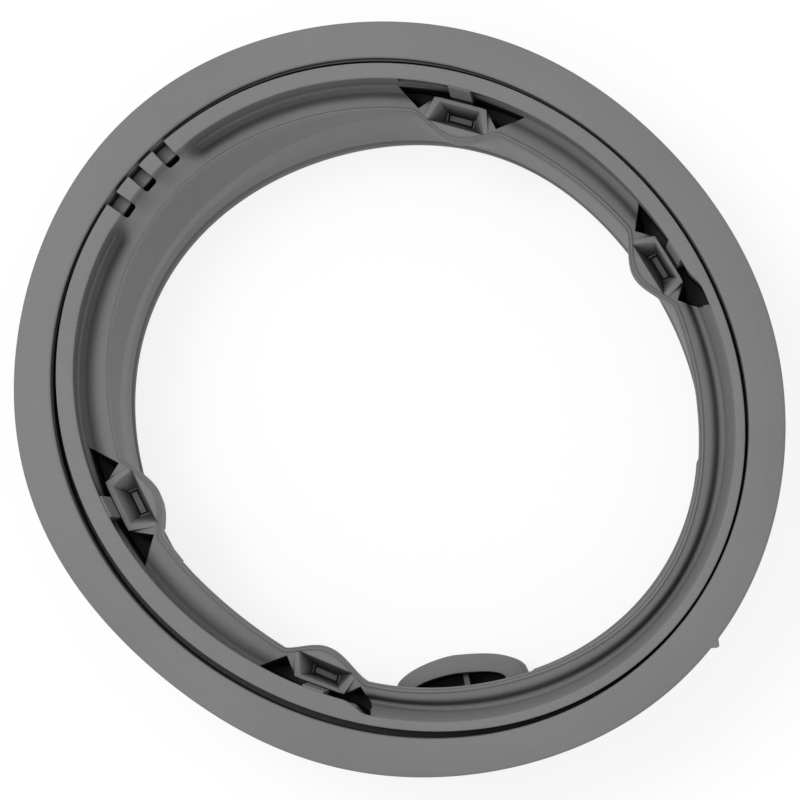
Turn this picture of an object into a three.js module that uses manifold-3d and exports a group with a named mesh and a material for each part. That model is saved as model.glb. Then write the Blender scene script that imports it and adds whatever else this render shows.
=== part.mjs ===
// Door seal of a front loading washing machine: one moulded rubber ring.
// Millimetres. The ring lies on its rear rim, its front faces up.
//   +Z  ring axis, towards the door
//   +Y  towards the mark on the outer edge, which is the top once fitted
//   +X  right hand side as seen from the door with the mark at the top
// Origin: middle of the outline, on the plane of the rear rim.
import * as THREE from 'three';
import Module from 'manifold-3d';

const wasm = await Module();
wasm.setup();
const { Manifold, Mesh: Shell } = wasm;

// ---- driving dimensions, mm and degrees ----

// whole ring: mean radius of the rear rim, and how far the front reaches beyond it
const rearRadius = 154;
const frontReach = 48.3;
const outerRadius = rearRadius + frontReach;

// how the ring leaves the circle, as [waves around, cosine part, sine part], from the top
const frontShape = [[1, -2.7, -0.6], [2, 9.2, 0.4], [3, 0.8, -0.3], [5, 0, 0.4], [6, 0.5, -0.4]];
const grooveShape = [[1, -1.5, -0.6], [2, 9.2, 0.6], [3, 1.1, -0.2]];
const bandShape = [[1, -1.2, 0.4], [2, 9.8, 0.8], [3, 1.1, -0.4], [4, 0.4, 0.1]];
const lipShape = [[1, -0.1, 1.4], [2, 10.3, -0.2], [3, 0.4, -0.4], [4, 0.6, 0.1], [5, 0.4, 0.3], [6, 0.8, 0.1]];
const rearShape = [[1, 0.2, -3.9], [2, 5.9, 1.6], [3, 1.6, 0], [4, 0.9, 1], [5, -0.3, -0.2]];

// heights above the rear rim
const bandHeight = 76;
const flangeEdgeDrop = 2;
const flangeCrown = 1.8;
const lipDrop = 14;
const channelDepth = 22.5;
const channelShift = 1.6;
const channelUndercut = 3.2;
const hollowPadHalfAngle = 15;
const rimCrease = 4.4;
const flangeEdgeHeight = bandHeight - flangeEdgeDrop;
const lipHeight = bandHeight - lipDrop;
const channelHeight = bandHeight - channelDepth;

// rubber
const wallThickness = 3.4;
const flangeThickness = 3.6;
const edgeRound = 1.2;

// groove between flange and band, with a small ledge on its outer wall along one side
const flangeWidth = 20.5;
const grooveWidth = 2.5;
const grooveDepth = 11;
const grooveLedgeDepth = 3.4;
const grooveLedgeWidth = 0.9;
const grooveLedgeAngle = 100;
const grooveOuterRadius = outerRadius - flangeWidth;
const grooveInnerRadius = grooveOuterRadius - grooveWidth;

// flat band, narrower over the upper part of the ring
const bandWidth = 9.6;
const bandWidthTop = 4.9;
const bandWidthLean = 1.2;
const bandTopHalfAngle = 59;
const bandStepAngle = 5;
const channelOuterRadius = grooveInnerRadius - bandWidth;

// front lip, a double bead
const lipSetback = 2.3;
const lipRadius = rearRadius + lipSetback;
const lipWidth = 2.6;
const lipBeadDepth = 1;

// bellows wall behind the lip, with a fold that sinks towards the bottom
const foldSink = 20;
const foldReach = 4.4;
const foldHalfAngle = 62;

// rear rim, with an inner ledge over the upper part, and its clamp groove
const rimHeight = 4.4;
const rimLedge = 2.4;
const rimLedgeHalfAngle = 28;
const rimWidth = 11;
const clampGrooveDepth = 4;
const clampRadius = rearRadius + rimWidth;
const clampFlangeRadius = clampRadius + clampGrooveDepth;
const clampGrooveWidth = 8.5;

// spray nozzle bosses, angles from the top; shares run from the lip to the foot of the band
const nozzleAngles = [65, 116.8, 238.4, 292.5];
const nozzleBulge = 10.7;
const nozzleBulgeHalfAngle = 9;
const nozzleBulgeFullness = 0.6;
const bossRimShare = 0.79;
const bossHalfWidth = 14.8;
const mouthOuterShare = 0.6;
const mouthInset = 3.1;
const mouthOuterHalfWidth = 11.4;
const mouthInnerHalfWidth = 16.2;
const mouthDepth = 12;
const slotLength = 14.4;
const slotWidth = 4.4;
const slotDepth = 3.2;
const hollowHalfWidth = 36.6;
const hollowApexHalfWidth = 22.4;
const hollowApexShare = 0.17;
const hollowFloorDrop = 13;
const hollowUndercutShare = 0.36;
const hollowRoof = 3;
const bridgeHalfWidth = 6.3;
const socketRadius = 7;
const socketBore = 4.2;
const socketLength = 9;
const hollowFloorHeight = channelHeight - hollowFloorDrop;
const bossRimRadius = lipRadius + bossRimShare * (channelOuterRadius - lipRadius);
const mouthOuterRadius = lipRadius + mouthOuterShare * (channelOuterRadius - lipRadius);
const mouthInnerRadius = lipRadius - mouthInset;
const hollowApexRadius = lipRadius + hollowApexShare * (channelOuterRadius - lipRadius);

// drain notches at the bottom
const notchCentre = 177.5;
const notchPitch = 5.65;
const notchWidth = 7.8;
const notchInset = 1.5;
const notchFloor = 9;
const notchWellDepth = 19;
const sillRise = 11;
const sillHalfAngle = 7.6;
const sillFade = 3.5;

// inlet hood on the rear part, angle from the top
const hoodAngle = -41.4;
const hoodHalfWidth = 35.4;
const hoodReach = 18.5;
const hoodRoundness = 2.3;
const hoodTaper = 1.5;
const hoodHeight = 26;
const hoodWall = 10.3;
const hoodFloor = 6;
const hoodRibWidth = 3;
const hoodRibShift = 3.5;

// mark on the outer edge
const markHeight = 2.7;
const markWidth = 6.4;

const rad = Math.PI / 180;
const up = 90;

// ---- helpers ----

// angle to the top in degrees, -180 to 180
function fromTop(angle) {
  return ((((angle - up) % 360) + 540) % 360) - 180;
}

// 0 below a, 1 above b, smooth in between
function ease(value, a, b) {
  const t = Math.min(1, Math.max(0, (value - a) / (b - a)));
  return t * t * (3 - 2 * t);
}

function mix(a, b, t) {
  return a + (b - a) * t;
}

// how far one shape moves a point outward at this angle
function waves(shape, angle) {
  const a = fromTop(angle) * rad;
  let sum = 0;
  for (const [times, cosine, sine] of shape) {
    sum += cosine * Math.cos(times * a) + sine * Math.sin(times * a);
  }
  return sum;
}

// how far the part of the ring outside the channel is moved at a nominal radius
function frontWaves(radius, angle) {
  if (radius <= grooveInnerRadius) {
    return waves(bandShape, angle);
  }
  if (radius <= grooveOuterRadius) {
    const t = (radius - grooveInnerRadius) / (grooveOuterRadius - grooveInnerRadius);
    return mix(waves(bandShape, angle), waves(grooveShape, angle), t);
  }
  const t = Math.min(1, (radius - grooveOuterRadius) / (outerRadius - grooveOuterRadius));
  return mix(waves(grooveShape, angle), waves(frontShape, angle), t);
}

// nominal radius and height to x, y: rear shape below, lip shape above, front shape outside
function place(angle, radius, height) {
  const front = ease(radius, lipRadius + 2, channelOuterRadius - 1) * ease(height, 20, 45);
  const rise = Math.min(1, Math.max(0, height / lipHeight));
  const inner = mix(waves(rearShape, angle), waves(lipShape, angle), rise);
  const r = radius + mix(inner, frontWaves(radius, angle), front);
  return [r * Math.cos(angle * rad), r * Math.sin(angle * rad)];
}

// ---- shapes that change around the ring ----

// 1 in the middle of a nozzle bulge, 0 away from it
function bulge(angle) {
  let most = 0;
  for (const at of nozzleAngles) {
    const gap = Math.abs(((((angle - up - at) % 360) + 540) % 360) - 180);
    const t = Math.min(1, gap / nozzleBulgeHalfAngle);
    const round = 0.5 + 0.5 * Math.cos(Math.PI * t);
    most = Math.max(most, Math.pow(round, nozzleBulgeFullness));
  }
  return most;
}

function bandInnerRadius(angle) {
  const gap = Math.abs(fromTop(angle));
  const half = bandStepAngle / 2;
  const wide = ease(gap, bandTopHalfAngle - half, bandTopHalfAngle + half);
  const lean = bandWidthLean * Math.sin(fromTop(angle) * rad);
  return grooveInnerRadius - mix(bandWidthTop, bandWidth - lean, wide);
}

function lipOuterRadius(angle) {
  return lipRadius + lipWidth / 2 - nozzleBulge * bulge(angle);
}

// 1 at the bottom of the ring, 0 from the given half angle on
function bottom(angle, halfAngle) {
  const gap = 180 - Math.abs(fromTop(angle));
  return 1 - ease(gap, 0, halfAngle);
}

// raised floor of the channel behind the drain notches, 1 in the middle
function sillAt(angle) {
  const gap = Math.abs(fromTop(angle - notchCentre));
  return 1 - ease(gap, sillHalfAngle, sillHalfAngle + sillFade);
}

// closed outline of the ring wall at one angle, as [radius, height]
function hollowAt(angle) {
  const aside = nozzleAngles.map((nozzle) => Math.abs(fromTop(angle - nozzle)));
  return 1 - ease(Math.min(...aside), hollowPadHalfAngle, hollowPadHalfAngle + 3);
}

function section(angle) {
  const wide = channelOuterRadius;
  const band = bandInnerRadius(angle);
  const lean = (band - wide) / 2;
  const push = nozzleBulge * bulge(angle);
  const sill = sillRise * sillAt(angle);
  const fold = bottom(angle, foldHalfAngle);
  const aside = Math.abs(fromTop(angle));
  const ledge = rimLedge * (1 - ease(aside, rimLedgeHalfAngle - 1, rimLedgeHalfAngle + 1));
  const rim = rearRadius - ledge;
  const lipIn = lipRadius - lipWidth / 2 - push;
  const lipOut = lipRadius + lipWidth / 2 - push;
  const grooveFloor = bandHeight - grooveDepth;
  const ledgeTop = bandHeight - grooveLedgeDepth;
  const ledgeSide = 0.5 + 0.5 * Math.cos((fromTop(angle) - grooveLedgeAngle) * rad);
  const ledgeRadius = grooveOuterRadius - 0.1 - grooveLedgeWidth * ledgeSide;
  const narrow = Math.min(1, Math.max(0, (band - wide) / (bandWidth - bandWidthTop)));
  const shift = channelShift * narrow;
  const free = (1 - narrow) * (1 - sillAt(angle));
  const undercut = channelUndercut * free;
  const outside = wide + wallThickness + undercut + 1.15 * (band - wide) * hollowAt(angle);
  const middle = mix(lipRadius, wide - shift, 0.5);
  const crown = flangeEdgeHeight + flangeCrown;
  const clampTop = rimHeight + edgeRound + clampGrooveWidth;
  const outerSide = lipRadius + 0.5;
  return [
    // flange
    [outerRadius - edgeRound, flangeEdgeHeight - flangeThickness],
    [outerRadius, flangeEdgeHeight - flangeThickness / 2],
    [outerRadius - edgeRound, flangeEdgeHeight],
    [mix(outerRadius, grooveOuterRadius, 0.45), mix(flangeEdgeHeight, crown, 0.8)],
    [grooveOuterRadius + 2 * edgeRound, crown],
    [grooveOuterRadius + edgeRound / 3, crown - edgeRound / 2],
    [grooveOuterRadius, crown - 2 * edgeRound],
    // groove
    [grooveOuterRadius, ledgeTop],
    [ledgeRadius, ledgeTop - 0.2],
    [ledgeRadius, grooveFloor],
    [grooveInnerRadius, grooveFloor],
    // band
    [grooveInnerRadius, bandHeight - edgeRound / 2],
    [grooveInnerRadius - edgeRound / 2, bandHeight],
    [band + edgeRound / 2, bandHeight],
    [band, bandHeight - edgeRound / 2],
    // channel
    [wide + lean - 0.2 + undercut, bandHeight - mix(8.5, 4.5, free)],
    [wide - 0.4 - shift * 0.8 + undercut, channelHeight + 2.4 + 1.2 * free + sill],
    [wide - 2.8 - shift + undercut * 0.3, channelHeight + 2 + 2 * free + sill * 0.9],
    [middle, channelHeight + 6.4 + sill * 0.3],
    [lipOut + 0.4, lipHeight - 1],
    // front lip
    [lipOut, lipHeight],
    [lipRadius - push + 0.1, lipHeight - lipBeadDepth],
    [lipIn + 0.5, lipHeight - 0.1],
    [lipIn, lipHeight - 1],
    // bellows wall
    [lipIn - 0.3 - foldReach * fold, lipHeight - 6 - foldSink * fold],
    [mix(rearRadius, lipRadius, 0.35) - push * 0.1, 22 - 5 * fold],
    [rearRadius + 0.7, rimHeight + 3.4],
    [rearRadius + rimCrease, rimHeight + 1.6],
    // rear rim
    [rim, rimHeight],
    [rim, edgeRound],
    [rim + edgeRound, 0],
    [clampFlangeRadius - edgeRound, 0],
    [clampFlangeRadius, edgeRound],
    [clampFlangeRadius, rimHeight],
    [clampRadius, rimHeight + edgeRound],
    [clampRadius, clampTop],
    [clampFlangeRadius - 0.4, clampTop + edgeRound],
    [clampFlangeRadius - 0.4, clampTop + edgeRound + wallThickness],
    // outer side of the bellows wall
    [outerSide, clampTop + 10],
    [lipRadius + lipWidth / 2 - 0.2, channelHeight + 3.4],
    // under the channel
    [middle, channelHeight + 1.9],
    [wide - 3.4 - shift * 0.8, channelHeight - wallThickness + 0.4],
    [outside - 0.6, channelHeight - 1.6],
    // under the groove
    [outside, grooveFloor - wallThickness - 0.4],
    [grooveOuterRadius + wallThickness - 0.6, grooveFloor - wallThickness],
    [grooveOuterRadius + wallThickness + 0.4, crown - flangeThickness - 1.6],
  ];
}

// angles of the cross sections, closer together at the nozzles
function stations() {
  const list = [];
  let angle = 0;
  while (angle < 360) {
    list.push(angle);
    let step = 6;
    for (const at of nozzleAngles) {
      const gap = Math.abs(((((angle - up - at) % 360) + 540) % 360) - 180);
      if (gap < nozzleBulgeHalfAngle + 1) {
        step = 2.2;
      }
    }
    if (Math.abs(Math.abs(fromTop(angle)) - rimLedgeHalfAngle) < 3) {
      step = 1.5;
    }
    if (Math.abs(fromTop(angle - notchCentre)) < sillHalfAngle + sillFade + 2) {
      step = Math.min(step, 2.4);
    }
    angle += step;
  }
  if (360 - list[list.length - 1] < 1) {
    list.pop();
  }
  return list;
}

// ---- solids ----

function solid(points, faces) {
  const shell = new Shell({
    numProp: 3,
    vertProperties: new Float32Array(points.flat()),
    triVerts: new Uint32Array(faces.flat()),
  });
  shell.merge();
  return new Manifold(shell);
}

// closed ring through the sections
function ringSolid() {
  const angles = stations();
  const count = section(0).length;
  const points = [];
  for (const angle of angles) {
    for (const [radius, height] of section(angle)) {
      const [x, y] = place(angle, radius, height);
      points.push([x, y, height]);
    }
  }
  const faces = [];
  for (let i = 0; i < angles.length; i += 1) {
    const here = i * count;
    const next = ((i + 1) % angles.length) * count;
    for (let j = 0; j < count; j += 1) {
      const k = (j + 1) % count;
      faces.push([here + j, next + j, next + k]);
      faces.push([here + j, next + k, here + k]);
    }
  }
  return solid(points, faces);
}

// body between two outlines with the same number of corners
function loft(low, lowHeight, high, highHeight) {
  const count = low.length;
  const turned = THREE.ShapeUtils.area(low.map(([x, y]) => new THREE.Vector2(x, y))) < 0;
  const foot = turned ? [...low].reverse() : low;
  const head = turned ? [...high].reverse() : high;
  const flat = foot.map(([x, y]) => new THREE.Vector2(x, y));
  const points = [];
  for (const [x, y] of foot) {
    points.push([x, y, lowHeight]);
  }
  for (const [x, y] of head) {
    points.push([x, y, highHeight]);
  }
  const faces = [];
  for (const cap of THREE.ShapeUtils.triangulateShape(flat, [])) {
    const left = THREE.ShapeUtils.area(cap.map((i) => flat[i])) > 0;
    const [a, b, c] = left ? cap : [cap[2], cap[1], cap[0]];
    faces.push([c, b, a]);
    faces.push([a + count, b + count, c + count]);
  }
  for (let i = 0; i < count; i += 1) {
    const k = (i + 1) % count;
    faces.push([i, k, k + count]);
    faces.push([i, k + count, i + count]);
  }
  return solid(points, faces);
}

function prism(outline, lowHeight, highHeight) {
  return loft(outline, lowHeight, outline, highHeight);
}

// corners given as [sideways mm, nominal radius] about one angle, with the ring shape at one height
function about(angle, height, corners) {
  return corners.map(([side, radius]) => place(angle + side / radius / rad, radius, height));
}

// ---- nozzle bosses ----

function nozzleBoss(at) {
  const angle = up + at;
  const wide = channelOuterRadius;
  const lens = [];
  for (let i = -3; i <= 3; i += 1) {
    const side = (i / 3) * (bossHalfWidth + 3.6);
    const turn = side / lipRadius / rad;
    lens.push([side, lipOuterRadius(angle + turn) + 0.9]);
  }
  const top = about(angle, lipHeight, [
    ...lens,
    [bossHalfWidth, bossRimRadius],
    [-bossHalfWidth, bossRimRadius],
  ]);
  const outer = [];
  for (let i = 4; i >= -4; i -= 1) {
    const across = (i / 4) * (hollowHalfWidth + 3);
    outer.push([across, bandInnerRadius(angle + across / bossRimRadius / rad) + 2.8]);
  }
  const base = about(angle, lipHeight, [
    [-hollowHalfWidth - 3, lipRadius + 1.4],
    [0, lipRadius + 1.4],
    [hollowHalfWidth + 3, lipRadius + 1.4],
    ...outer,
  ]);
  const underSlope = about(angle, lipHeight, [
    [-hollowHalfWidth - 3, lipRadius + 0.9],
    [0, lipRadius + 0.9],
    [hollowHalfWidth + 3, lipRadius + 0.9],
    [hollowHalfWidth + 3, mix(lipRadius, wide, 0.585)],
    [0, mix(lipRadius, wide, 0.585)],
    [-hollowHalfWidth - 3, mix(lipRadius, wide, 0.585)],
  ]);
  const band = bandInnerRadius(angle);
  const bridgeFoot = about(angle, lipHeight, [
    [-bridgeHalfWidth, bossRimRadius - 2],
    [bridgeHalfWidth, bossRimRadius - 2],
    [bridgeHalfWidth, band + channelUndercut + 1],
    [-bridgeHalfWidth, band + channelUndercut + 1],
  ]);
  const bridgeHead = about(angle, lipHeight, [
    [-bridgeHalfWidth, band - 0.3],
    [bridgeHalfWidth, band - 0.3],
    [bridgeHalfWidth, band + channelUndercut + 1],
    [-bridgeHalfWidth, band + channelUndercut + 1],
  ]);
  const centre = (mouthInnerRadius + mouthOuterRadius) / 2;
  const [x, y] = place(angle, centre, lipHeight);
  const floor = hollowFloorHeight - wallThickness;
  const socket = Manifold.cylinder(socketLength + 4, socketRadius, socketRadius, 20)
    .translate([x, y, floor - socketLength]);
  const boss = prism(top, hollowFloorHeight - 1, lipHeight - 0.9);
  const block = prism(base, floor, channelHeight + 0.8);
  const filling = prism(underSlope, channelHeight - 1.5, channelHeight + 3.4);
  const bar = loft(bridgeFoot, hollowFloorHeight - 1, bridgeHead, bandHeight - edgeRound);
  return boss.add(block).add(filling).add(bar).add(socket);
}

// everything that is cut out of one nozzle boss
function nozzleCuts(at) {
  const angle = up + at;
  const mouthTop = lipHeight - 0.9;
  const mouthFloor = mouthTop - mouthDepth;
  const middle = (mouthInnerRadius + mouthOuterRadius) / 2;
  const rimLine = about(angle, lipHeight, [
    [-mouthInnerHalfWidth, mouthInnerRadius],
    [mouthInnerHalfWidth, mouthInnerRadius],
    [mouthOuterHalfWidth, mouthOuterRadius],
    [-mouthOuterHalfWidth, mouthOuterRadius],
  ]);
  const floorLine = about(angle, lipHeight, [
    [-slotLength / 2 - 0.8, middle - slotWidth / 2 - 0.8],
    [slotLength / 2 + 0.8, middle - slotWidth / 2 - 0.8],
    [slotLength / 2 + 0.8, middle + slotWidth / 2 + 0.8],
    [-slotLength / 2 - 0.8, middle + slotWidth / 2 + 0.8],
  ]);
  const slotLine = about(angle, lipHeight, [
    [-slotLength / 2, middle - slotWidth / 2],
    [slotLength / 2, middle - slotWidth / 2],
    [slotLength / 2, middle + slotWidth / 2],
    [-slotLength / 2, middle + slotWidth / 2],
  ]);
  const mouth = loft(floorLine, mouthFloor, rimLine, mouthTop);
  const above = prism(rimLine, mouthTop, lipHeight + 6);
  const slot = prism(slotLine, mouthFloor - slotDepth, mouthFloor + 0.01);
  const [x, y] = place(angle, middle, lipHeight);
  const low = hollowFloorHeight - wallThickness - socketLength;
  const bore = Manifold.cylinder(socketLength - 1, socketBore, socketBore, 16)
    .translate([x, y, low - 1]);
  return [mouth.add(above).add(slot), bore];
}

// deep hollow beside a boss, on the side given by +1 or -1
function sideHollow(at, side) {
  const angle = up + at;
  const wide = channelOuterRadius;
  const atEdge = [];
  const underBand = [];
  const inWall = [];
  for (let i = 0; i <= 4; i += 1) {
    const across = mix(bridgeHalfWidth, hollowHalfWidth, i / 4);
    const turn = (side * across) / bossRimRadius / rad;
    const edge = bandInnerRadius(angle + turn);
    atEdge.push([side * across, edge - 0.2]);
    underBand.push([side * across, mix(edge, grooveInnerRadius, hollowUndercutShare)]);
    inWall.push([side * across, Math.max(wide + 0.6, edge + 0.4)]);
  }
  const corners = [
    [side * hollowApexHalfWidth, hollowApexRadius],
    [side * (bossHalfWidth + 0.2), bossRimRadius - 0.3],
    [side * bridgeHalfWidth, bossRimRadius],
  ];
  const foot = [
    [side * hollowApexHalfWidth, mix(hollowApexRadius, bossRimRadius, 0.6)],
    [side * (bossHalfWidth + 0.2), bossRimRadius - 0.3],
    [side * bridgeHalfWidth, bossRimRadius],
  ];
  const low = about(angle, lipHeight, [...inWall, ...foot]);
  const middle = about(angle, lipHeight, [...inWall, ...corners]);
  const high = about(angle, lipHeight, [...underBand, ...corners]);
  const open = about(angle, lipHeight, [...atEdge, ...corners]);
  const taperTop = lipHeight - 5;
  const undercutFloor = bandHeight - grooveDepth - 1;
  const roof = bandHeight - hollowRoof;
  return loft(low, hollowFloorHeight, middle, taperTop)
    .add(prism(middle, taperTop, undercutFloor))
    .add(prism(high, undercutFloor, roof))
    .add(prism(open, roof, bandHeight + 2));
}

// ---- drain notches ----

function drainNotch(index) {
  const angle = up + notchCentre + index * notchPitch;
  const wide = channelOuterRadius;
  const inner = wide - notchInset;
  const half = notchWidth / 2;
  const gutter = about(angle, bandHeight, [
    [-half, wide - 0.6],
    [half, wide - 0.6],
    [half, grooveInnerRadius + 0.9],
    [-half, grooveInnerRadius + 0.9],
  ]);
  const well = about(angle, bandHeight, [
    [-half, inner + 1.2],
    [-half + 1.2, inner],
    [half - 1.2, inner],
    [half, inner + 1.2],
    [half, wide + 2],
    [-half, wide + 2],
  ]);
  const open = prism(gutter, bandHeight - notchFloor, bandHeight + 3);
  return open.add(prism(well, bandHeight - notchWellDepth, bandHeight + 3));
}

// ---- inlet hood ----

function hoodOutline(reach, half, base) {
  const corners = [];
  for (let i = 0; i <= 10; i += 1) {
    const t = -1 + i / 5;
    const power = t < 0 ? hoodTaper : hoodRoundness;
    const arch = Math.pow(1 - Math.pow(Math.abs(t), power), 1 / power);
    corners.push([t * half, rearRadius + 1 - reach * arch]);
  }
  corners.push([half, base]);
  corners.push([0, base]);
  corners.push([-half, base]);
  return corners;
}

function hoodBody() {
  const arch = hoodOutline(hoodReach, hoodHalfWidth, rearRadius + 4);
  const outline = about(up + hoodAngle, hoodHeight / 2, arch);
  return prism(outline, 2, hoodHeight);
}

function hoodCut() {
  const reach = hoodReach - hoodWall;
  const half = hoodHalfWidth - hoodWall;
  const outline = about(up + hoodAngle, hoodHeight / 2, hoodOutline(reach, half, rearRadius + 3.2));
  const opening = prism(outline, hoodFloor, hoodHeight + 1);
  const turn = hoodRibShift / rearRadius / rad;
  const rib = prism(about(up + hoodAngle + turn, hoodHeight / 2, [
    [-hoodRibWidth / 2, rearRadius - hoodReach],
    [hoodRibWidth / 2, rearRadius - hoodReach],
    [hoodRibWidth / 2, rearRadius + 6],
    [-hoodRibWidth / 2, rearRadius + 6],
  ]), 2, hoodHeight - 5);
  return opening.subtract(rib);
}

// ---- mark on the outer edge ----

function topMark() {
  const low = flangeEdgeHeight - flangeThickness + 0.5;
  const r = outerRadius;
  const half = markWidth / 2;
  const outline = about(up, bandHeight, [
    [-half, r - 2],
    [half, r - 2],
    [half, r - 0.8],
    [half * 0.45, r + markHeight * 0.55],
    [half * 0.2, r + markHeight * 0.95],
    [-half * 0.2, r + markHeight * 0.95],
    [-half * 0.45, r + markHeight * 0.55],
    [-half, r - 0.8],
  ]);
  return prism(outline, low, flangeEdgeHeight - 0.2);
}

// ---- the seal ----

function doorSeal() {
  let body = ringSolid().add(topMark()).add(hoodBody());
  for (const at of nozzleAngles) {
    body = body.add(nozzleBoss(at));
  }
  for (const at of nozzleAngles) {
    for (const cut of nozzleCuts(at)) {
      body = body.subtract(cut);
    }
    body = body.subtract(sideHollow(at, 1));
    body = body.subtract(sideHollow(at, -1));
  }
  for (const index of [-1, 0, 1]) {
    body = body.subtract(drainNotch(index));
  }
  return body.subtract(hoodCut());
}

function geometryOf(body) {
  const shell = body.getMesh();
  const step = shell.numProp;
  const points = [];
  for (let i = 0; i < shell.vertProperties.length; i += step) {
    points.push(...shell.vertProperties.slice(i, i + 3));
  }
  const geometry = new THREE.BufferGeometry();
  geometry.setAttribute('position', new THREE.Float32BufferAttribute(points, 3));
  geometry.setIndex(Array.from(shell.triVerts));
  geometry.computeVertexNormals();
  return geometry;
}

function sealRubber() {
  return new THREE.MeshStandardMaterial({
    color: new THREE.Color(0.215, 0.215, 0.215),
    roughness: 0.62,
    metalness: 0,
  });
}

const seal = new THREE.Mesh(geometryOf(doorSeal()), sealRubber());
seal.name = 'door_seal';

const part = new THREE.Group();
part.name = 'washing_machine_door_seal';
part.add(seal);

export default part;
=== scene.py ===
"""Looks of the washing machine door seal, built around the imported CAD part.

The shape functions work in millimetres and degrees. make_object turns them
into metres, and the lights and bare node distances are in metres as well.
"""

import math

import bpy
from mathutils import Matrix, Vector


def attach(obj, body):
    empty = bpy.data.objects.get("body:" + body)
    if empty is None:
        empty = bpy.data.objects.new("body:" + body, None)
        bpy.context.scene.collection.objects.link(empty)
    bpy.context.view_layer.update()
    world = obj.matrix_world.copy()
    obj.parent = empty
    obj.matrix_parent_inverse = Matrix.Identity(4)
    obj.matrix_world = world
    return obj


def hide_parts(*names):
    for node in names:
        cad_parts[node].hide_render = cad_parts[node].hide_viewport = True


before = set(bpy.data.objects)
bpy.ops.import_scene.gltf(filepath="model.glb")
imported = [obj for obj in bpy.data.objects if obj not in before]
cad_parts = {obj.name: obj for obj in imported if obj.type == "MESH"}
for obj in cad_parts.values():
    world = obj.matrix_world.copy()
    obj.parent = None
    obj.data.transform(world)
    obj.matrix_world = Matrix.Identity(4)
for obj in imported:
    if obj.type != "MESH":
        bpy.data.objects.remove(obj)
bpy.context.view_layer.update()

# Dimensions, mm and degrees, the same as in the CAD part.
# Names with HALF are half a width or half an angle; shares are of a length.

REAR_RADIUS = 154
OUTER_RADIUS = REAR_RADIUS + 48.3

# Uneven outlines, as (waves round the ring, cosine share, sine share).
FRONT_SHAPE = [(1, -2.7, -0.6), (2, 9.2, 0.4), (3, 0.8, -0.3), (5, 0, 0.4), (6, 0.5, -0.4)]
GROOVE_SHAPE = [(1, -1.5, -0.6), (2, 9.2, 0.6), (3, 1.1, -0.2)]
BAND_SHAPE = [(1, -1.2, 0.4), (2, 9.8, 0.8), (3, 1.1, -0.4), (4, 0.4, 0.1)]
LIP_SHAPE = [
    (1, -0.1, 1.4), (2, 10.3, -0.2), (3, 0.4, -0.4),
    (4, 0.6, 0.1), (5, 0.4, 0.3), (6, 0.8, 0.1),
]
REAR_SHAPE = [(1, 0.2, -3.9), (2, 5.9, 1.6), (3, 1.6, 0), (4, 0.9, 1), (5, -0.3, -0.2)]

# The front outlines take over from the rear ones between these heights.
FRONT_START = 20
FRONT_FULL = 45

BAND_HEIGHT = 76
FLANGE_EDGE_HEIGHT = 74
FLANGE_CROWN = 1.8
FLANGE_THICKNESS = 3.6
LIP_HEIGHT = 62
WALL = 3.4
EDGE_ROUND = 1.2

GROOVE_OUTER = OUTER_RADIUS - 20.5
GROOVE_INNER = GROOVE_OUTER - 2.5
GROOVE_DEPTH = 11
LEDGE_DEPTH = 3.4
LEDGE_WIDTH = 0.9
LEDGE_ANGLE = 100

BAND_WIDTH = 9.6
BAND_WIDTH_TOP = 4.9
BAND_LEAN = 1.2
BAND_TOP_HALF = 59
BAND_STEP = 5
WIDE = GROOVE_INNER - BAND_WIDTH

CHANNEL_HEIGHT = BAND_HEIGHT - 22.5
CHANNEL_SHIFT = 1.6
CHANNEL_UNDERCUT = 3.2

LIP_RADIUS = REAR_RADIUS + 2.3
LIP_WIDTH = 2.6
LIP_BEAD = 1.0

FOLD_SINK = 20
FOLD_REACH = 4.4
FOLD_HALF = 62

RIM_HEIGHT = 4.4
RIM_CREASE = 4.4
RIM_LEDGE = 2.4
RIM_LEDGE_HALF = 28
CLAMP_RADIUS = REAR_RADIUS + 11
CLAMP_FLANGE = CLAMP_RADIUS + 4
CLAMP_GROOVE = 8.5

# Angle of the outer mark; the angles of the features count from it.
MARK_ANGLE = 90
MARK_HEIGHT = 2.7
MARK_WIDTH = 6.4
MARK_ROOT = 0.8
MARK_STEPS = 12

NOZZLES = [65, 116.8, 238.4, 292.5]
BULGE = 10.7
BULGE_HALF = 9
BULGE_FULLNESS = 0.6
BOSS_RIM = LIP_RADIUS + 0.79 * (WIDE - LIP_RADIUS)
BOSS_HALF = 14.8
BOSS_TOP = LIP_HEIGHT - 0.9
BOSS_FOOT_SPREAD = 3.6
BOSS_STEPS = 12
BLOCK_SPREAD = 3
BLOCK_PAST_BAND = 2.8
FILLING_SHARE = 0.585
MOUTH_OUTER = LIP_RADIUS + 0.6 * (WIDE - LIP_RADIUS)
MOUTH_INNER = LIP_RADIUS - 3.1
MOUTH_OUTER_HALF = 11.4
MOUTH_INNER_HALF = 16.2
MOUTH_DEPTH = 12
SLOT_LENGTH = 14.4
SLOT_WIDTH = 4.4
SLOT_DEPTH = 3.2
PLINTH_GAP = 0.8
PLINTH_HALF = 1.5
HOLLOW_HALF = 36.6
HOLLOW_APEX_HALF = 22.4
HOLLOW_APEX = LIP_RADIUS + 0.17 * (WIDE - LIP_RADIUS)
HOLLOW_FLOOR = 40.5
HOLLOW_ROOF = 3
HOLLOW_STEPS = 12
HOLLOW_PAD_HALF = 15
HOLLOW_PAD_FADE = 3
HOLLOW_PAD_SHARE = 1.15
UNDERCUT_SHARE = 0.36
BRIDGE_HALF = 6.3
BRIDGE_ROOT = 1
SOCKET_RADIUS = 7
SOCKET_BORE = 4.2
SOCKET_LENGTH = 9
SOCKET_CHAMFER = 0.8

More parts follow.
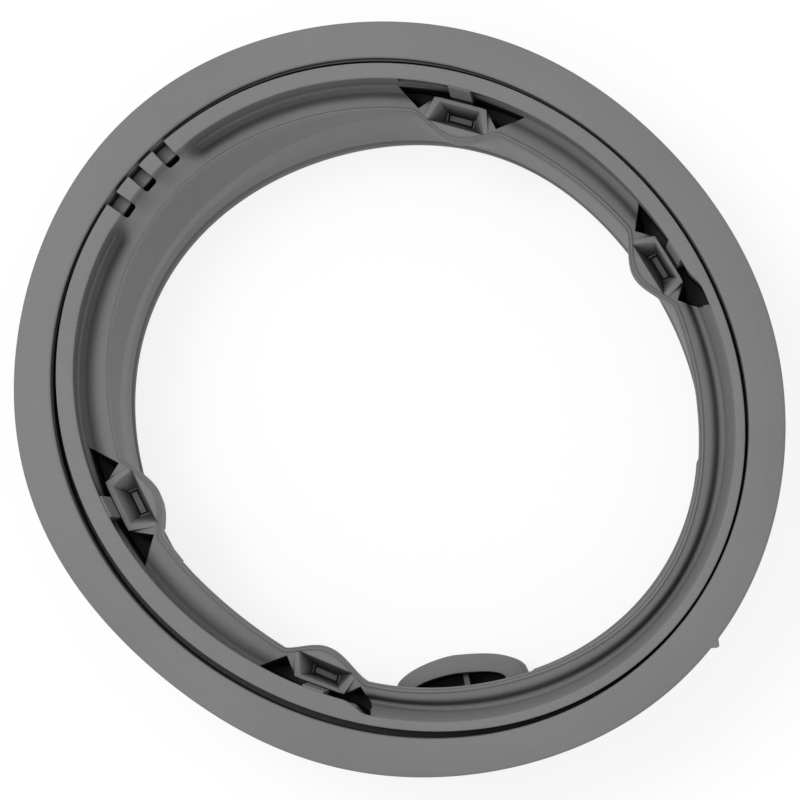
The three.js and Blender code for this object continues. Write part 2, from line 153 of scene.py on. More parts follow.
NOTCH_CENTRE = 177.5
NOTCH_PITCH = 5.65
NOTCH_WIDTH = 7.8
NOTCH_INNER = WIDE - 1.5
NOTCH_FLOOR = 9
NOTCH_WELL = 19
SILL_RISE = 11
SILL_HALF = 7.6
SILL_FADE = 3.5

HOOD_ANGLE = MARK_ANGLE - 41.4
HOOD_HALF = 35.4
HOOD_REACH = 18.5
HOOD_ROUNDNESS = 2.3
HOOD_TAPER = 1.5
HOOD_HEIGHT = 26
HOOD_WALL = 10.3
HOOD_FLOOR = 6
HOOD_RIB = 3
HOOD_RIB_SHIFT = 3.5
HOOD_STEPS = 20

# Fineness of the mesh, and the small amounts by which tools reach past a face.
STATIONS = 480
SOCKET_CORNERS = 40
BORE_CORNERS = 32
FILLING_STEP = 4
SIDE_SHARE = 0.48
NEARLY_ONE = 0.9999
PAST_FACE = 3
TOOL_OVERLAP = 0.01
SHARP_ANGLE = 38
MM = 0.001

# Rubber: painted shade. Within the reach (mm) below, the base colour of crevices darkens as
# ambient occlusion falls from the open value down to the closed value.
TONE_DARK = 0.194
TONE_LIGHT = 0.222
PAINTED_SHADE_REACH = 26
PAINTED_SHADE_CLOSED = 0.14
PAINTED_SHADE_OPEN = 0.56
PAINTED_SHADE_DARKEST = 0.05

# Floor, world and lights: (name, position in m, side in m, power in W).
FLOOR_HALF = 9000
FLOOR_TONE = 0.86
FLOOR_GLOW = 1.12
FLOOR_GLOW_SHARE = 0.72
WORLD_STRENGTH = 0.62
LIGHTS = [
    ("key", (0.15, -1.5, 2.6), 1.4, 26),
    ("fill", (0.5, 1.6, 2.4), 2.0, 6),
]
LIGHT_AIM = (0, 0, 0.05)

# Camera: lengths in mm, scale in mm for each pixel, centre in pixels.
PHOTO_SIDE = 800
CAMERA_TILT = 11.5
CAMERA_DISTANCE = 1500
CAMERA_SCALE = 0.5243
CAMERA_ROLL = 231.5
CAMERA_TARGET = (-0.6, -0.3, 76)
CAMERA_CENTRE = (396.0, 393.6)
SENSOR_WIDTH = 36
CLIP_END = 100


# The shape of the ring

def folded(angle):
    """The same angle between -180 and 180."""
    return (angle + 540) % 360 - 180


def from_top(angle):
    """Angle counted from the outer mark."""
    return folded(angle - MARK_ANGLE)


def clamped(value):
    return min(1, max(0, value))


def ease(value, a, b):
    """Smooth rise from 0 at a to 1 at b."""
    t = clamped((value - a) / (b - a))
    return t * t * (3 - 2 * t)


def mix(a, b, t):
    return a + (b - a) * t


def hump(t):
    """One at t = 0, falling smoothly to 0 at t = -1 and t = 1."""
    return 0.5 + 0.5 * math.cos(math.pi * t)


def waves(shape, angle):
    a = math.radians(from_top(angle))
    return sum(c * math.cos(k * a) + s * math.sin(k * a) for k, c, s in shape)


def front_waves(radius, angle):
    """Unevenness of the front at a nominal radius, from the band out to the flange edge."""
    if radius <= GROOVE_INNER:
        return waves(BAND_SHAPE, angle)
    if radius <= GROOVE_OUTER:
        t = (radius - GROOVE_INNER) / (GROOVE_OUTER - GROOVE_INNER)
        return mix(waves(BAND_SHAPE, angle), waves(GROOVE_SHAPE, angle), t)
    t = min(1, (radius - GROOVE_OUTER) / (OUTER_RADIUS - GROOVE_OUTER))
    return mix(waves(GROOVE_SHAPE, angle), waves(FRONT_SHAPE, angle), t)


def place(angle, radius, height):
    """Plane position of a point that is given by its angle, nominal radius and height."""
    front = ease(radius, LIP_RADIUS + 2, WIDE - 1) * ease(height, FRONT_START, FRONT_FULL)
    rise = clamped(height / LIP_HEIGHT)
    inner = mix(waves(REAR_SHAPE, angle), waves(LIP_SHAPE, angle), rise)
    r = radius + mix(inner, front_waves(radius, angle), front)
    a = math.radians(angle)
    return r * math.cos(a), r * math.sin(a)


def bulge(angle):
    """Share of the inward bulge that the lip makes at a nozzle."""
    gap = min(abs(folded(angle - MARK_ANGLE - nozzle)) for nozzle in NOZZLES)
    return hump(min(1, gap / BULGE_HALF)) ** BULGE_FULLNESS


def band_inner(angle):
    """Inner radius of the flat band, which is narrow near the outer mark."""
    top = from_top(angle)
    wide = ease(abs(top), BAND_TOP_HALF - BAND_STEP / 2, BAND_TOP_HALF + BAND_STEP / 2)
    lean = BAND_LEAN * math.sin(math.radians(top))
    return GROOVE_INNER - mix(BAND_WIDTH_TOP, BAND_WIDTH - lean, wide)


def lip_outer(angle):
    return LIP_RADIUS + LIP_WIDTH / 2 - BULGE * bulge(angle)


def sill_at(angle):
    """Share of the raised channel floor behind the drain notches."""
    aside = abs(from_top(angle - NOTCH_CENTRE))
    return 1 - ease(aside, SILL_HALF, SILL_HALF + SILL_FADE)


def hollow_at(angle):
    """Share of the thicker wall outside the side hollows of the nozzles."""
    aside = min(abs(from_top(angle - nozzle)) for nozzle in NOZZLES)
    return 1 - ease(aside, HOLLOW_PAD_HALF, HOLLOW_PAD_HALF + HOLLOW_PAD_FADE)


def section(angle):
    """Corners of the ring wall, from the flange edge inwards and back along the outside.

    Each is (radius, height, rounding radius, steps of the rounding, steps to the next corner).
    """
    band = band_inner(angle)
    lean = (band - WIDE) / 2
    push = BULGE * bulge(angle)
    aside = abs(from_top(angle))
    sill = SILL_RISE * sill_at(angle)
    narrow = clamped((band - WIDE) / (BAND_WIDTH - BAND_WIDTH_TOP))
    free = (1 - narrow) * (1 - sill_at(angle))

    crown = FLANGE_EDGE_HEIGHT + FLANGE_CROWN
    face_radius = mix(OUTER_RADIUS, GROOVE_OUTER, 0.45)
    face_height = mix(FLANGE_EDGE_HEIGHT, crown, 0.85)
    groove_floor = BAND_HEIGHT - GROOVE_DEPTH
    ledge_top = BAND_HEIGHT - LEDGE_DEPTH
    ledge_side = 0.5 + 0.5 * math.cos(math.radians(from_top(angle) - LEDGE_ANGLE))
    ledge_radius = GROOVE_OUTER - 0.1 - LEDGE_WIDTH * ledge_side

    shift = CHANNEL_SHIFT * narrow
    undercut = CHANNEL_UNDERCUT * free
    under_band = BAND_HEIGHT - mix(8.5, 4.5, free)
    wall_foot = CHANNEL_HEIGHT + 2.4 + 1.2 * free + sill
    floor_edge = CHANNEL_HEIGHT + 2 + 2 * free + sill * 0.9
    middle = mix(LIP_RADIUS, WIDE - shift, 0.5)

    lip_in = LIP_RADIUS - LIP_WIDTH / 2 - push
    lip_out = lip_outer(angle)
    fold = 1 - ease(180 - aside, 0, FOLD_HALF)
    fold_radius = lip_in - 0.3 - FOLD_REACH * fold
    fold_height = LIP_HEIGHT - 6 - FOLD_SINK * fold
    wall_in = mix(REAR_RADIUS, LIP_RADIUS, 0.35) - push * 0.1

    rim = REAR_RADIUS - RIM_LEDGE * (1 - ease(aside, RIM_LEDGE_HALF - 1, RIM_LEDGE_HALF + 1))
    clamp_top = RIM_HEIGHT + EDGE_ROUND + CLAMP_GROOVE
    pad = HOLLOW_PAD_SHARE * (band - WIDE) * hollow_at(angle)
    outside = WIDE + WALL + undercut + pad
    return [
        # flange edge and crowned face
        (OUTER_RADIUS, FLANGE_EDGE_HEIGHT - FLANGE_THICKNESS, 1.4, 3, 1),
        (OUTER_RADIUS, FLANGE_EDGE_HEIGHT, 1.6, 4, 3),
        (face_radius, face_height, 30, 3, 3),
        # groove with its ledge
        (GROOVE_OUTER, crown, 2.2, 6, 1),
        (GROOVE_OUTER, ledge_top, 0.3, 2, 1),
        (ledge_radius, ledge_top - 0.2, 0.3, 2, 2),
        (ledge_radius, groove_floor, 0.5, 2, 1),
        (GROOVE_INNER, groove_floor, 0.5, 2, 2),
        # band
        (GROOVE_INNER, BAND_HEIGHT, 0.7, 4, 3),
        (band, BAND_HEIGHT, 0.9, 5, 1),
        # channel
        (WIDE + lean - 0.2 + undercut, under_band, 2.5, 3, 3),
        (WIDE - 0.4 - shift * 0.8 + undercut, wall_foot, mix(1.6, 6, narrow), 4, 1),
        (WIDE - 2.8 - shift + undercut * 0.3, floor_edge, mix(4, 6, narrow), 4, 3),
        (middle, CHANNEL_HEIGHT + 6.4 + sill * 0.3, 12, 4, 3),
        # lip with its double bead
        (lip_out + 0.4, LIP_HEIGHT - 1.0, 0.5, 2, 1),
        (lip_out - 0.35, LIP_HEIGHT, 0.45, 3, 1),
        (LIP_RADIUS - push + 0.05, LIP_HEIGHT - LIP_BEAD, 0.3, 2, 1),
        (lip_in + 0.5, LIP_HEIGHT - 0.05, 0.5, 3, 1),
        (lip_in, LIP_HEIGHT - 1.2, 0.8, 2, 3),
        # bellows wall with its fold, down to the crease
        (fold_radius, fold_height, mix(3, 9, fold), 5, 4),
        (wall_in, 22 - 5 * fold, 8, 3, 3),
        (REAR_RADIUS + 0.7, RIM_HEIGHT + 3.4, 0.7, 3, 1),
        (REAR_RADIUS + RIM_CREASE, RIM_HEIGHT + 1.6, 0.3, 2, 1),
        # rear rim and clamp groove
        (rim, RIM_HEIGHT, 0.7, 3, 1),
        (rim, 0, EDGE_ROUND, 4, 3),
        (CLAMP_FLANGE, 0, EDGE_ROUND, 4, 1),
        (CLAMP_FLANGE, RIM_HEIGHT + 0.6, 0.8, 3, 1),
        (CLAMP_RADIUS, RIM_HEIGHT + EDGE_ROUND, 0.6, 2, 2),
        (CLAMP_RADIUS, clamp_top, 0.6, 2, 1),
        (CLAMP_FLANGE - 0.4, clamp_top + EDGE_ROUND, 0.8, 3, 1),
        (CLAMP_FLANGE - 0.4, clamp_top + EDGE_ROUND + WALL, 1, 3, 2),
        # outer side of the wall, back to the flange
        (LIP_RADIUS + 0.5, clamp_top + 10, 3, 4, 4),
        (LIP_RADIUS + LIP_WIDTH / 2 - 0.2, CHANNEL_HEIGHT + 3.4, 0.8, 3, 1),
        (middle, CHANNEL_HEIGHT + 1.9, 4, 3, 2),
        (WIDE - 3.4 - shift * 0.8, CHANNEL_HEIGHT - WALL + 0.4, 2.5, 4, 1),
        (outside - 0.6, CHANNEL_HEIGHT - 1.6, 2, 4, 2),
        (outside, groove_floor - WALL - 0.4, 1, 3, 2),
        (GROOVE_OUTER + WALL - 0.6, groove_floor - WALL, 1.5, 4, 2),
        (GROOVE_OUTER + WALL + 0.4, crown - FLANGE_THICKNESS - 1.6, 1.6, 4, 4),
    ]


def corner_arc(before, corner, after):
    """Start, middle control point and end of the arc that rounds a corner."""
    bx, by, radius = corner[:3]
    ux, uy = before[0] - bx, before[1] - by
    vx, vy = after[0] - bx, after[1] - by
    ul, vl = math.hypot(ux, uy), math.hypot(vx, vy)
    ux, uy, vx, vy = ux / ul, uy / ul, vx / vl, vy / vl
    half = 0.5 * math.acos(max(-NEARLY_ONE, min(NEARLY_ONE, ux * vx + uy * vy)))
    reach = min(radius / math.tan(half), SIDE_SHARE * ul, SIDE_SHARE * vl)
    return (bx + ux * reach, by + uy * reach), (bx, by), (bx + vx * reach, by + vy * reach)


def rounded(corners):
    """Points along the outline, with each corner turned into an arc."""
    count = len(corners)
    arcs = [corner_arc(corners[i - 1], corners[i], corners[(i + 1) % count])
            for i in range(count)]
    out = []
    for i in range(count):
        start, control, end = arcs[i]
        onward = arcs[(i + 1) % count][0]
        steps, run = corners[i][3:]
        for j in range(steps + 1):
            t = j / steps
            w0, w1, w2 = (1 - t) ** 2, 2 * t * (1 - t), t * t
            out.append((w0 * start[0] + w1 * control[0] + w2 * end[0],
                        w0 * start[1] + w1 * control[1] + w2 * end[1]))
        for j in range(1, run):
            t = j / run
            out.append((mix(end[0], onward[0], t), mix(end[1], onward[1], t)))
    return out


# Meshes

def make_object(name, points, faces):
    """Object in the scene from points in mm."""
    mesh = bpy.data.meshes.new(name)
    mesh.from_pydata([(x * MM, y * MM, z * MM) for x, y, z in points], [], faces)
    mesh.update()
    made = bpy.data.objects.new(name, mesh)
    bpy.context.scene.collection.objects.link(made)
    return made


def ring_object():
    """The bare ring: the rounded cross-section at each station, joined into a closed skin."""
    points = []
    for i in range(STATIONS):
        angle = 360 * i / STATIONS
        for radius, height in rounded(section(angle)):
            x, y = place(angle, radius, height)
            points.append((x, y, height))
    count = len(points) // STATIONS
    faces = []
    for i in range(STATIONS):
        here = i * count
        there = ((i + 1) % STATIONS) * count
        for j in range(count):
            k = (j + 1) % count
            faces.append((here + j, there + j, there + k, here + k))
    return make_object("ring", points, faces)


def loft(name, levels):
    """Body through outlines of the same number of corners, given as (outline, height)."""
    first = levels[0][0]
    count = len(first)
    area = sum(first[i - 1][0] * first[i][1] - first[i][0] * first[i - 1][1]
               for i in range(count))
    points = []
    for outline, height in levels:
        line = outline if area > 0 else outline[::-1]
        points.extend((x, y, height) for x, y in line)
    faces = [tuple(reversed(range(count)))]
    for level in range(len(levels) - 1):
        base = level * count
        for i in range(count):
            k = (i + 1) % count
            faces.append((base + i, base + k, base + count + k, base + count + i))
    last = (len(levels) - 1) * count
    faces.append(tuple(range(last, last + count)))
    return make_object(name, points, faces)


def prism(name, outline, low, high):
    return loft(name, [(outline, low), (outline, high)])


def about(angle, height, corners):
    """Plane outline of (side, radius) corners, laid out to both sides of an angle."""
    return [place(angle + math.degrees(side / radius), radius, height)
            for side, radius in corners]


def box(half, inner, outer):
    """Corners of a straight box across the ring, between two radii."""
    return [(-half, inner), (half, inner), (half, outer), (-half, outer)]


def circle(centre, radius, count):
    out = []
    for i in range(count):
        turn = 2 * math.pi * i / count
        out.append((centre[0] + radius * math.cos(turn), centre[1] + radius * math.sin(turn)))
    return out


def fine(corners, step):
    """The same outline with points along its long sides, so that it follows the ring's curve."""
    out = []
    for i in range(len(corners)):
        a, b = corners[i], corners[(i + 1) % len(corners)]
        parts = max(1, round(math.hypot(b[0] - a[0], b[1] - a[1]) / step))
        for j in range(parts):
            out.append((mix(a[0], b[0], j / parts), mix(a[1], b[1], j / parts)))
    return out


def grown(corners, by):
    """The same outline with each corner moved away from its middle."""
    middle_side = sum(side for side, radius in corners) / len(corners)
    middle_radius = sum(radius for side, radius in corners) / len(corners)
    out = []
    for side, radius in corners:
        across, along = side - middle_side, radius - middle_radius
        gap = math.hypot(across, along)
        out.append((side + across / gap * by, radius + along / gap * by))
    return out


def boolean(body, tools, operation):
    """Join the tools to the body or cut them out of it, and remove them."""
    for tool in tools:
        modifier = body.modifiers.new("cut", "BOOLEAN")
        modifier.operation = operation
        modifier.solver = "MANIFOLD"
        modifier.object = tool
        bpy.context.view_layer.update()
        graph = bpy.context.evaluated_depsgraph_get()
        mesh = bpy.data.meshes.new_from_object(body.evaluated_get(graph))
        body.modifiers.clear()
        body.data = mesh
        bpy.data.objects.remove(tool)
    return body


# Nozzle bosses

def nozzle_adds(at):
    """Boss, block below it, filling under the channel slope, bridge and socket of a nozzle."""
    angle = MARK_ANGLE + at
    lens = []
    for i in range(-BOSS_STEPS, BOSS_STEPS + 1):
        side = i / BOSS_STEPS * (BOSS_HALF + BOSS_FOOT_SPREAD)
        lens.append((side, lip_outer(angle + math.degrees(side / LIP_RADIUS)) + 0.9))
    top = about(angle, LIP_HEIGHT, lens + [(BOSS_HALF, BOSS_RIM), (-BOSS_HALF, BOSS_RIM)])
    outer = []
    for i in range(BOSS_STEPS, -BOSS_STEPS - 1, -1):
        across = i / BOSS_STEPS * (HOLLOW_HALF + BLOCK_SPREAD)
        edge = band_inner(angle + math.degrees(across / BOSS_RIM))
        outer.append((across, edge + BLOCK_PAST_BAND))
    inner = [(-across, LIP_RADIUS + 1.4) for across, _ in outer]
    base = about(angle, LIP_HEIGHT, inner + outer)
    slope_end = mix(LIP_RADIUS, WIDE, FILLING_SHARE)
    slope = box(HOLLOW_HALF + BLOCK_SPREAD, LIP_RADIUS + 0.9, slope_end)
    under_slope = about(angle, LIP_HEIGHT, fine(slope, FILLING_STEP))
    band = band_inner(angle)
    root = band + CHANNEL_UNDERCUT + BRIDGE_ROOT
    bridge_foot = about(angle, LIP_HEIGHT, box(BRIDGE_HALF, BOSS_RIM - 2, root))
    bridge_head = about(angle, LIP_HEIGHT, box(BRIDGE_HALF, band - 0.3, root))
    middle = place(angle, (MOUTH_INNER + MOUTH_OUTER) / 2, LIP_HEIGHT)
    floor = HOLLOW_FLOOR - WALL
    stub = circle(middle, SOCKET_RADIUS, SOCKET_CORNERS)
    stub_end = circle(middle, SOCKET_RADIUS - SOCKET_CHAMFER, SOCKET_CORNERS)
    return [
        prism("boss", top, HOLLOW_FLOOR - 1, BOSS_TOP),
        prism("block", base, floor, CHANNEL_HEIGHT + 0.8),
        prism("filling", under_slope, CHANNEL_HEIGHT - 1.5, CHANNEL_HEIGHT + 3.4),
        loft("bar", [(bridge_foot, HOLLOW_FLOOR - 1), (bridge_head, BAND_HEIGHT - EDGE_ROUND)]),
        loft("socket", [(stub_end, floor - SOCKET_LENGTH),
                        (stub, floor - SOCKET_LENGTH + SOCKET_CHAMFER),
                        (stub, floor + 4)]),
    ]


def nozzle_cuts(at):
    """Mouth of a nozzle with its slot and plinth, and the bore of its socket."""
    angle = MARK_ANGLE + at
    floor = BOSS_TOP - MOUTH_DEPTH
    middle = (MOUTH_INNER + MOUTH_OUTER) / 2
    rim = [(-MOUTH_INNER_HALF, MOUTH_INNER), (MOUTH_INNER_HALF, MOUTH_INNER),
           (MOUTH_OUTER_HALF, MOUTH_OUTER), (-MOUTH_OUTER_HALF, MOUTH_OUTER)]
    slot = box(SLOT_LENGTH / 2, middle - SLOT_WIDTH / 2, middle + SLOT_WIDTH / 2)
    outlines = [
        (slot, floor - SLOT_DEPTH),
        (slot, floor),
        (grown(slot, 0.9), floor + 0.3),
        (grown(rim, -0.5), BOSS_TOP - 0.9),
        (rim, BOSS_TOP - 0.35),
        (grown(rim, 0.45), BOSS_TOP + 0.05),
        (grown(rim, 0.5), BOSS_TOP + 6),
    ]
    mouth = loft("mouth", [(about(angle, LIP_HEIGHT, outline), height)
                           for outline, height in outlines])
    island = box(SLOT_LENGTH / 2 - PLINTH_GAP, middle - PLINTH_HALF, middle + PLINTH_HALF)
    plinth = prism("plinth", about(angle, LIP_HEIGHT, island),
                   floor - SLOT_DEPTH - 1, floor - 0.2)
    boolean(mouth, [plinth], "DIFFERENCE")
    centre = place(angle, middle, LIP_HEIGHT)
    low = HOLLOW_FLOOR - WALL - SOCKET_LENGTH
    bore = prism("bore", circle(centre, SOCKET_BORE, BORE_CORNERS),
                 low - 1, low + SOCKET_LENGTH - 2)
    return [mouth, bore]


def side_hollow(at, side):
    """Deep hollow beside a nozzle, on side 1 or -1, wider below the band than at its edge."""
    angle = MARK_ANGLE + at
    at_edge, under_band, in_wall = [], [], []
    for i in range(HOLLOW_STEPS + 1):
        across = mix(BRIDGE_HALF, HOLLOW_HALF, i / HOLLOW_STEPS)
        edge = band_inner(angle + math.degrees(side * across / BOSS_RIM))
        at_edge.append((side * across, edge - 0.2))
        under_band.append((side * across, mix(edge, GROOVE_INNER, UNDERCUT_SHARE)))
        in_wall.append((side * across, max(WIDE + 0.6, edge + 0.4)))
    boss_side = [(side * (BOSS_HALF + 0.2), BOSS_RIM - 0.3), (side * BRIDGE_HALF, BOSS_RIM)]
    corners = [(side * HOLLOW_APEX_HALF, HOLLOW_APEX)] + boss_side
    foot = [(side * HOLLOW_APEX_HALF, mix(HOLLOW_APEX, BOSS_RIM, 0.6))] + boss_side
    low = about(angle, LIP_HEIGHT, in_wall + foot)
    middle = about(angle, LIP_HEIGHT, in_wall + corners)
    high = about(angle, LIP_HEIGHT, under_band + corners)
    open_top = about(angle, LIP_HEIGHT, at_edge + corners)
    undercut_floor = BAND_HEIGHT - GROOVE_DEPTH - 1
    roof = BAND_HEIGHT - HOLLOW_ROOF
    lower = loft("hollow", [
        (low, HOLLOW_FLOOR), (middle, LIP_HEIGHT - 5), (middle, undercut_floor)])
    under = prism("hollow_under_band", high, undercut_floor - TOOL_OVERLAP, roof)
    upper = prism("hollow_top", open_top, roof - TOOL_OVERLAP, BAND_HEIGHT + 2)
    return boolean(lower, [under, upper], "UNION")


# Drain notches

def drain_notch(index):
    """Notch across the band with the deeper well at its inner end."""
    angle = MARK_ANGLE + NOTCH_CENTRE + index * NOTCH_PITCH
    half = NOTCH_WIDTH / 2
    across_band = about(angle, BAND_HEIGHT, box(half, WIDE - 0.6, GROOVE_INNER + 0.9))
    gutter = prism("gutter", across_band, BAND_HEIGHT - NOTCH_FLOOR, BAND_HEIGHT + PAST_FACE)
    well_outline = about(angle, BAND_HEIGHT, [
        (-half, NOTCH_INNER + 1.2), (-half + 0.5, NOTCH_INNER + 0.35),
        (-half + 1.4, NOTCH_INNER), (half - 1.4, NOTCH_INNER),
        (half - 0.5, NOTCH_INNER + 0.35), (half, NOTCH_INNER + 1.2),
        (half, WIDE + 2), (-half, WIDE + 2)])
    well = prism("well", well_outline, BAND_HEIGHT - NOTCH_WELL, BAND_HEIGHT + PAST_FACE)
    return boolean(gutter, [well], "UNION")


# Inlet hood

def hood_outline(reach, half, base, inset):
    """Lopsided arch of the hood, drawn in by inset and closed at a base radius."""
    corners = []
    for i in range(2 * HOOD_STEPS + 1):
        t = -1 + i / HOOD_STEPS
        power = HOOD_TAPER if t < 0 else HOOD_ROUNDNESS
        arch = (1 - abs(t) ** power) ** (1 / power)
        corners.append((t * (half - inset), REAR_RADIUS + 1 - (reach - inset) * arch))
    corners += [(half - inset, base), (0, base), (inset - half, base)]
    return about(HOOD_ANGLE, HOOD_HEIGHT / 2, corners)


def hood_add():
    """Outer shape of the hood, rounded at both ends."""
    levels = [(0.8, 2), (0, 2.8), (0, HOOD_HEIGHT - 1.2),
              (0.35, HOOD_HEIGHT - 0.35), (1.2, HOOD_HEIGHT)]
    return loft("hood", [
        (hood_outline(HOOD_REACH, HOOD_HALF, REAR_RADIUS + 4, inset), height)
        for inset, height in levels])


def hood_cut():
    """Opening of the hood, which leaves the cross rib standing."""
    reach, half = HOOD_REACH - HOOD_WALL, HOOD_HALF - HOOD_WALL
    levels = [(0, HOOD_FLOOR), (0, HOOD_HEIGHT - 0.8),
              (-0.6, HOOD_HEIGHT + 0.05), (-0.6, HOOD_HEIGHT + 1)]
    opening = loft("opening", [
        (hood_outline(reach, half, REAR_RADIUS + 3.2, inset), height)
        for inset, height in levels])
    turn = math.degrees(HOOD_RIB_SHIFT / REAR_RADIUS)
    across = box(HOOD_RIB / 2, REAR_RADIUS - HOOD_REACH, REAR_RADIUS + 6)
    rib = prism("rib", about(HOOD_ANGLE + turn, HOOD_HEIGHT / 2, across), 2, HOOD_HEIGHT - 5)
    return boolean(opening, [rib], "DIFFERENCE")


# Mark on the outer edge

def top_mark():
    """Small pointed mark that stands out of the flange edge."""
    half = MARK_WIDTH / 2
    line = []
    for i in range(-MARK_STEPS, MARK_STEPS + 1):
        t = i / MARK_STEPS
        height = MARK_HEIGHT * 0.95 * hump(t) ** 0.8
        lift = height + MARK_ROOT if abs(t) < 1 else 0
        line.append((t * half, OUTER_RADIUS - MARK_ROOT + lift))
    corners = line + [(half, OUTER_RADIUS - 2), (-half, OUTER_RADIUS - 2)]
    low = FLANGE_EDGE_HEIGHT - FLANGE_THICKNESS + 0.5
    return prism("mark", about(MARK_ANGLE, BAND_HEIGHT, corners), low, FLANGE_EDGE_HEIGHT - 0.2)


# Materials

def new_node(nodes, kind, **values):
    """Shader node with values for its inputs; an underscore stands for a space in a name."""
    made = nodes.new(kind)
    for name, value in values.items():
        made.inputs[name.replace("_", " ")].default_value = value
    return made


def new_material(name):
    """Material with its nodes, its links and its shader."""
    material = bpy.data.materials.new(name)
    material.use_nodes = True
    tree = material.node_tree
    return material, tree.nodes, tree.links, tree.nodes["Principled BSDF"]


def grey(tone):
    return (tone, tone, tone, 1)


def rubber():
    """Grey rubber with a slightly uneven tone and fine grain, and painted shade that darkens its
    crevices.
    """
    material, nodes, links, shader = new_material("seal_rubber")
    coordinates = nodes.new("ShaderNodeTexCoord")

    broad = new_node(nodes, "ShaderNodeTexNoise", Scale=9, Detail=4, Roughness=0.55)
    links.new(coordinates.outputs["Object"], broad.inputs["Vector"])
    grain = new_node(nodes, "ShaderNodeTexNoise", Scale=900, Detail=3)
    links.new(coordinates.outputs["Object"], grain.inputs["Vector"])

    tone = nodes.new("ShaderNodeValToRGB")
    dark, light = tone.color_ramp.elements
    dark.position = 0.3
    dark.color = grey(TONE_DARK)
    light.position = 0.7
    light.color = grey(TONE_LIGHT)
    links.new(broad.outputs["Fac"], tone.inputs["Fac"])
    speck = new_node(nodes, "ShaderNodeMixRGB", Fac=0.12)
    speck.blend_type = "OVERLAY"
    links.new(tone.outputs["Color"], speck.inputs["Color1"])
    links.new(grain.outputs["Fac"], speck.inputs["Color2"])

    # Painted shade: ambient occlusion darkens the base colour in crevices and hollows, where shade
    # falls.
    shade_occlusion = new_node(nodes, "ShaderNodeAmbientOcclusion", Distance=PAINTED_SHADE_REACH * MM)
    shade_occlusion.samples = 8
    painted_shade_amount = new_node(nodes, "ShaderNodeMapRange", From_Min=PAINTED_SHADE_CLOSED,
                     From_Max=PAINTED_SHADE_OPEN, To_Min=PAINTED_SHADE_DARKEST, To_Max=1)
    links.new(shade_occlusion.outputs["AO"], painted_shade_amount.inputs["Value"])
    shade = new_node(nodes, "ShaderNodeMixRGB", Fac=1)
    shade.blend_type = "MULTIPLY"
    links.new(speck.outputs["Color"], shade.inputs["Color1"])
    links.new(painted_shade_amount.outputs["Result"], shade.inputs["Color2"])
    links.new(shade.outputs["Color"], shader.inputs["Base Color"])

    rough = new_node(nodes, "ShaderNodeMapRange", To_Min=0.5, To_Max=0.68)
    links.new(broad.outputs["Fac"], rough.inputs["Value"])
    links.new(rough.outputs["Result"], shader.inputs["Roughness"])
    shader.inputs["Specular IOR Level"].default_value = 0.4

    soft = new_node(nodes, "ShaderNodeBevel", Radius=0.0006)
    soft.samples = 4
    bump = new_node(nodes, "ShaderNodeBump", Strength=0.12, Distance=0.0002)
    links.new(grain.outputs["Fac"], bump.inputs["Height"])
    links.new(soft.outputs["Normal"], bump.inputs["Normal"])
    links.new(bump.outputs["Normal"], shader.inputs["Normal"])
    return material


# Floor, light, camera

def pale_floor():
    """Floor that glows for the camera and in reflections, and is plain pale to all other light."""
    corners = [(-FLOOR_HALF, -FLOOR_HALF, 0), (FLOOR_HALF, -FLOOR_HALF, 0),
               (FLOOR_HALF, FLOOR_HALF, 0), (-FLOOR_HALF, FLOOR_HALF, 0)]
    made = make_object("floor", corners, [(0, 1, 2, 3)])
    material, nodes, links, shader = new_material("pale_floor")
    shader.inputs["Base Color"].default_value = grey(FLOOR_TONE)
    shader.inputs["Roughness"].default_value = 0.9
    white = new_node(nodes, "ShaderNodeEmission", Strength=FLOOR_GLOW)
    path = nodes.new("ShaderNodeLightPath")
    seen = nodes.new("ShaderNodeMath")
    seen.operation = "MAXIMUM"
    links.new(path.outputs["Is Camera Ray"], seen.inputs[0])
    links.new(path.outputs["Is Glossy Ray"], seen.inputs[1])
    share = nodes.new("ShaderNodeMath")
    share.operation = "MULTIPLY"
    share.inputs[1].default_value = FLOOR_GLOW_SHARE
    links.new(seen.outputs[0], share.inputs[0])
    blend = nodes.new("ShaderNodeMixShader")
    links.new(share.outputs[0], blend.inputs["Fac"])
    links.new(shader.outputs["BSDF"], blend.inputs[1])
    links.new(white.outputs["Emission"], blend.inputs[2])
    links.new(blend.outputs["Shader"], nodes["Material Output"].inputs["Surface"])
    made.data.materials.append(material)


def world_light():
    """Even light from all round, seen by the camera as plain white."""
    world = bpy.data.worlds.new("studio")
    bpy.context.scene.world = world
    world.use_nodes = True
    nodes = world.node_tree.nodes
    links = world.node_tree.links
    around = nodes["Background"]
    around.inputs["Color"].default_value = grey(1)
    around.inputs["Strength"].default_value = WORLD_STRENGTH
    white = new_node(nodes, "ShaderNodeBackground", Color=grey(1))
    path = nodes.new("ShaderNodeLightPath")
    blend = nodes.new("ShaderNodeMixShader")
    links.new(path.outputs["Is Camera Ray"], blend.inputs["Fac"])
    links.new(around.outputs["Background"], blend.inputs[1])
    links.new(white.outputs["Background"], blend.inputs[2])
    links.new(blend.outputs["Shader"], nodes["World Output"].inputs["Surface"])


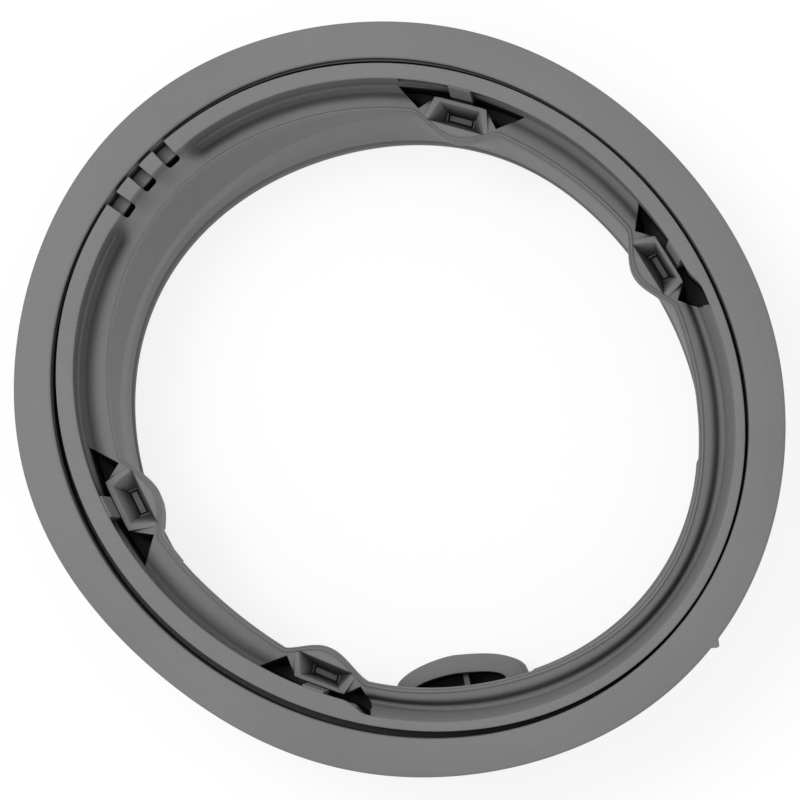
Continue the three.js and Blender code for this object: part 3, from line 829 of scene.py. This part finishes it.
def area_light(name, position, side, power):
    data = bpy.data.lights.new(name, "AREA")
    data.shape = "SQUARE"
    data.size = side
    data.energy = power
    lamp = bpy.data.objects.new(name, data)
    bpy.context.scene.collection.objects.link(lamp)
    lamp.location = position
    aim = Vector(LIGHT_AIM) - Vector(position)
    lamp.rotation_euler = aim.to_track_quat("-Z", "Y").to_euler()


def camera():
    """Camera over the front of the ring, turned and shifted as in the photo."""
    data = bpy.data.cameras.new("camera")
    made = bpy.data.objects.new("camera", data)
    bpy.context.scene.collection.objects.link(made)
    tilt = math.radians(CAMERA_TILT)
    back = Vector((0, math.sin(tilt), math.cos(tilt)))
    turn = math.radians(90 - CAMERA_ROLL)
    near_up = Vector((math.cos(turn), math.sin(turn), 0))
    right = near_up.cross(back).normalized()
    true_up = back.cross(right)
    made.matrix_world = Matrix((right, true_up, back)).transposed().to_4x4()
    made.location = (Vector(CAMERA_TARGET) + back * CAMERA_DISTANCE) * MM
    data.sensor_width = SENSOR_WIDTH
    data.lens = SENSOR_WIDTH * CAMERA_DISTANCE / CAMERA_SCALE / PHOTO_SIDE
    data.shift_x = (PHOTO_SIDE / 2 - CAMERA_CENTRE[0]) / PHOTO_SIDE
    data.shift_y = (CAMERA_CENTRE[1] - PHOTO_SIDE / 2) / PHOTO_SIDE
    data.clip_end = CLIP_END
    bpy.context.scene.camera = made


# The seal

seal = ring_object()
adds = [top_mark(), hood_add()]
for nozzle in NOZZLES:
    adds += nozzle_adds(nozzle)
boolean(seal, adds, "UNION")
cuts = []
for nozzle in NOZZLES:
    cuts += nozzle_cuts(nozzle)
    cuts += [side_hollow(nozzle, 1), side_hollow(nozzle, -1)]
cuts += [drain_notch(index) for index in (-1, 0, 1)]
cuts.append(hood_cut())
boolean(seal, cuts, "DIFFERENCE")
seal.name = "door_seal_skin"
seal.data.name = "door_seal_skin"
seal.data.materials.clear()
seal.data.materials.append(rubber())
for polygon in seal.data.polygons:
    polygon.use_smooth = True
    polygon.material_index = 0
seal.data.set_sharp_from_angle(angle=math.radians(SHARP_ANGLE))
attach(seal, "root")
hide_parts("door_seal")

# The stage

pale_floor()
world_light()
for name, position, side, power in LIGHTS:
    area_light(name, position, side, power)
camera()

bpy.context.scene.view_settings.view_transform = "Standard"
